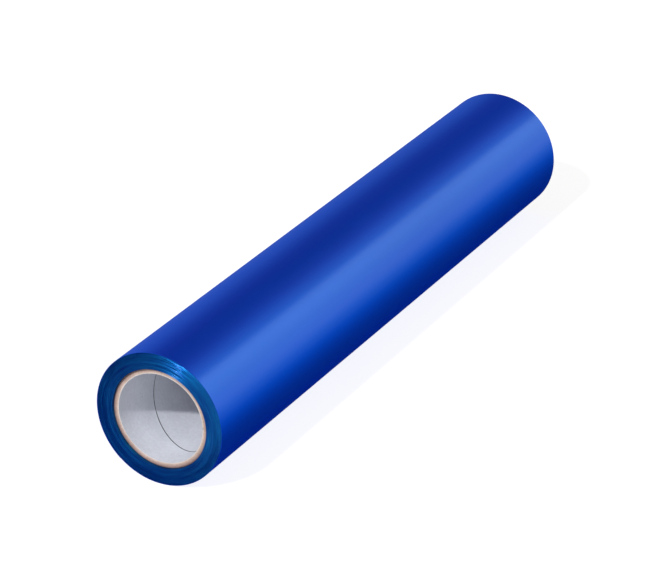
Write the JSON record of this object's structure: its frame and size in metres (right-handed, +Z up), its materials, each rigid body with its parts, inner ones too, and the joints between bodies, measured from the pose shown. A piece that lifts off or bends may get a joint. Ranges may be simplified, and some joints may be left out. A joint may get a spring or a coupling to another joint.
{
  "type": "roll of sign vinyl",
  "caption": "Roll of blue self-adhesive sign film wound film-out on a spiral paper core, with a loose end that lifts and straightens and a film edge that peels off its liner.",
  "frame": {"origin": "centre of the core's bore, at mid-length", "axes": "+Y along the roll's axis, +Z up with the roll lying on its side; the loose end comes over the top towards -X and ends on the -X side below the axis"},
  "size_m": [0.1135, 0.61, 0.1133],
  "materials": {
    "bore_paper": "smooth grey-white paper ply",
    "core_board": "matte kraft core board",
    "start_tape": "double-sided tissue tape",
    "wound_film": "satin-gloss calendered film",
    "face_film": "satin-gloss calendered film",
    "release_liner": "clear glossy release liner"
  },
  "bodies": {
    "roll": {"core_inner_liner": "bore_paper", "core_body_ply_1": "core_board", "core_body_ply_2": "core_board", "core_body_ply_3": "core_board", "core_body_ply_4": "core_board", "core_body_ply_5": "core_board", "core_body_ply_6": "core_board", "core_body_ply_7": "core_board", "core_outer_ply": "core_board", "core_start_tape": "start_tape", "wound_web": "wound_film"},
    "tail_01": {"film_tail_01": "face_film", "liner_tail_01": "release_liner"},
    "tail_02": {"film_tail_02": "face_film", "liner_tail_02": "release_liner"},
    "tail_03": {"film_tail_03": "face_film", "liner_tail_03": "release_liner"},
    "tail_04": {"film_tail_04": "face_film", "liner_tail_04": "release_liner"},
    "tail_05": {"film_tail_05": "face_film", "liner_tail_05": "release_liner"},
    "tail_06": {"film_tail_06": "face_film", "liner_tail_06": "release_liner"},
    "tail_07": {"film_tail_07": "face_film", "liner_tail_07": "release_liner"},
    "tail_08": {"film_tail_08": "face_film", "liner_tail_08": "release_liner"},
    "tail_09": {"film_tail_09": "face_film", "liner_tail_09": "release_liner"},
    "tail_10": {"film_tail_10": "face_film", "liner_tail_10": "release_liner"},
    "tail_end": {"film_tail_end": "face_film", "liner_tail_end": "release_liner"},
    "film_edge_1": {"film_edge_1": "face_film"},
    "film_edge_2": {"film_edge_2": "face_film"},
    "film_edge_3": {"film_edge_3": "face_film"}
  },
  "joints": [
    {"name": "tail_lift", "type": "hinge", "parent": "roll", "child": "tail_01", "pos_m": [-0.04351, 0, 0.03651], "axis": [0, 1, 0], "range_deg": [0, 7], "stiffness_Nm_per_rad": 0.5, "springref_deg": -5.73},
    {"name": "tail_bend_01", "type": "hinge", "parent": "tail_01", "child": "tail_02", "pos_m": [-0.04764, 0, 0.03094], "axis": [0, 1, 0], "range_deg": [0, 7]},
    {"name": "tail_bend_02", "type": "hinge", "parent": "tail_02", "child": "tail_03", "pos_m": [-0.05105, 0, 0.0249], "axis": [0, 1, 0], "range_deg": [0, 7]},
    {"name": "tail_bend_03", "type": "hinge", "parent": "tail_03", "child": "tail_04", "pos_m": [-0.05371, 0, 0.01849], "axis": [0, 1, 0], "range_deg": [0, 7]},
    {"name": "tail_bend_04", "type": "hinge", "parent": "tail_04", "child": "tail_05", "pos_m": [-0.05556, 0, 0.01181], "axis": [0, 1, 0], "range_deg": [0, 7]},
    {"name": "tail_bend_05", "type": "hinge", "parent": "tail_05", "child": "tail_06", "pos_m": [-0.05658, 0, 0.00495], "axis": [0, 1, 0], "range_deg": [0, 7]},
    {"name": "tail_bend_06", "type": "hinge", "parent": "tail_06", "child": "tail_07", "pos_m": [-0.05677, 0, -0.00198], "axis": [0, 1, 0], "range_deg": [0, 7]},
    {"name": "tail_bend_07", "type": "hinge", "parent": "tail_07", "child": "tail_08", "pos_m": [-0.0561, 0, -0.00889], "axis": [0, 1, 0], "range_deg": [0, 7]},
    {"name": "tail_bend_08", "type": "hinge", "parent": "tail_08", "child": "tail_09", "pos_m": [-0.0546, 0, -0.01566], "axis": [0, 1, 0], "range_deg": [0, 7]},
    {"name": "tail_bend_09", "type": "hinge", "parent": "tail_09", "child": "tail_10", "pos_m": [-0.05228, 0, -0.02219], "axis": [0, 1, 0], "range_deg": [0, 7]},
    {"name": "tail_bend_10", "type": "hinge", "parent": "tail_10", "child": "tail_end", "pos_m": [-0.04919, 0, -0.0284], "axis": [0, 1, 0], "range_deg": [0, 7]},
    {"name": "film_peel", "type": "hinge", "parent": "tail_end", "child": "film_edge_1", "pos_m": [-0.04653, 0, -0.03258], "axis": [0, 1, 0], "range_deg": [0, 40]},
    {"name": "film_curl_1", "type": "hinge", "parent": "film_edge_1", "child": "film_edge_2", "pos_m": [-0.04351, 0, -0.03651], "axis": [0, 1, 0], "range_deg": [0, 40]},
    {"name": "film_curl_2", "type": "hinge", "parent": "film_edge_2", "child": "film_edge_3", "pos_m": [-0.04016, 0, -0.04016], "axis": [0, 1, 0], "range_deg": [0, 40]}
  ],
  "couplings": [
    {"joint": "tail_bend_01", "follows": "tail_lift", "ratio": 1},
    {"joint": "tail_bend_02", "follows": "tail_lift", "ratio": 1},
    {"joint": "tail_bend_03", "follows": "tail_lift", "ratio": 1},
    {"joint": "tail_bend_04", "follows": "tail_lift", "ratio": 1},
    {"joint": "tail_bend_05", "follows": "tail_lift", "ratio": 1},
    {"joint": "tail_bend_06", "follows": "tail_lift", "ratio": 1},
    {"joint": "tail_bend_07", "follows": "tail_lift", "ratio": 1},
    {"joint": "tail_bend_08", "follows": "tail_lift", "ratio": 1},
    {"joint": "tail_bend_09", "follows": "tail_lift", "ratio": 1},
    {"joint": "tail_bend_10", "follows": "tail_lift", "ratio": 1},
    {"joint": "film_curl_1", "follows": "film_peel", "ratio": 1},
    {"joint": "film_curl_2", "follows": "film_peel", "ratio": 1}
  ]
}
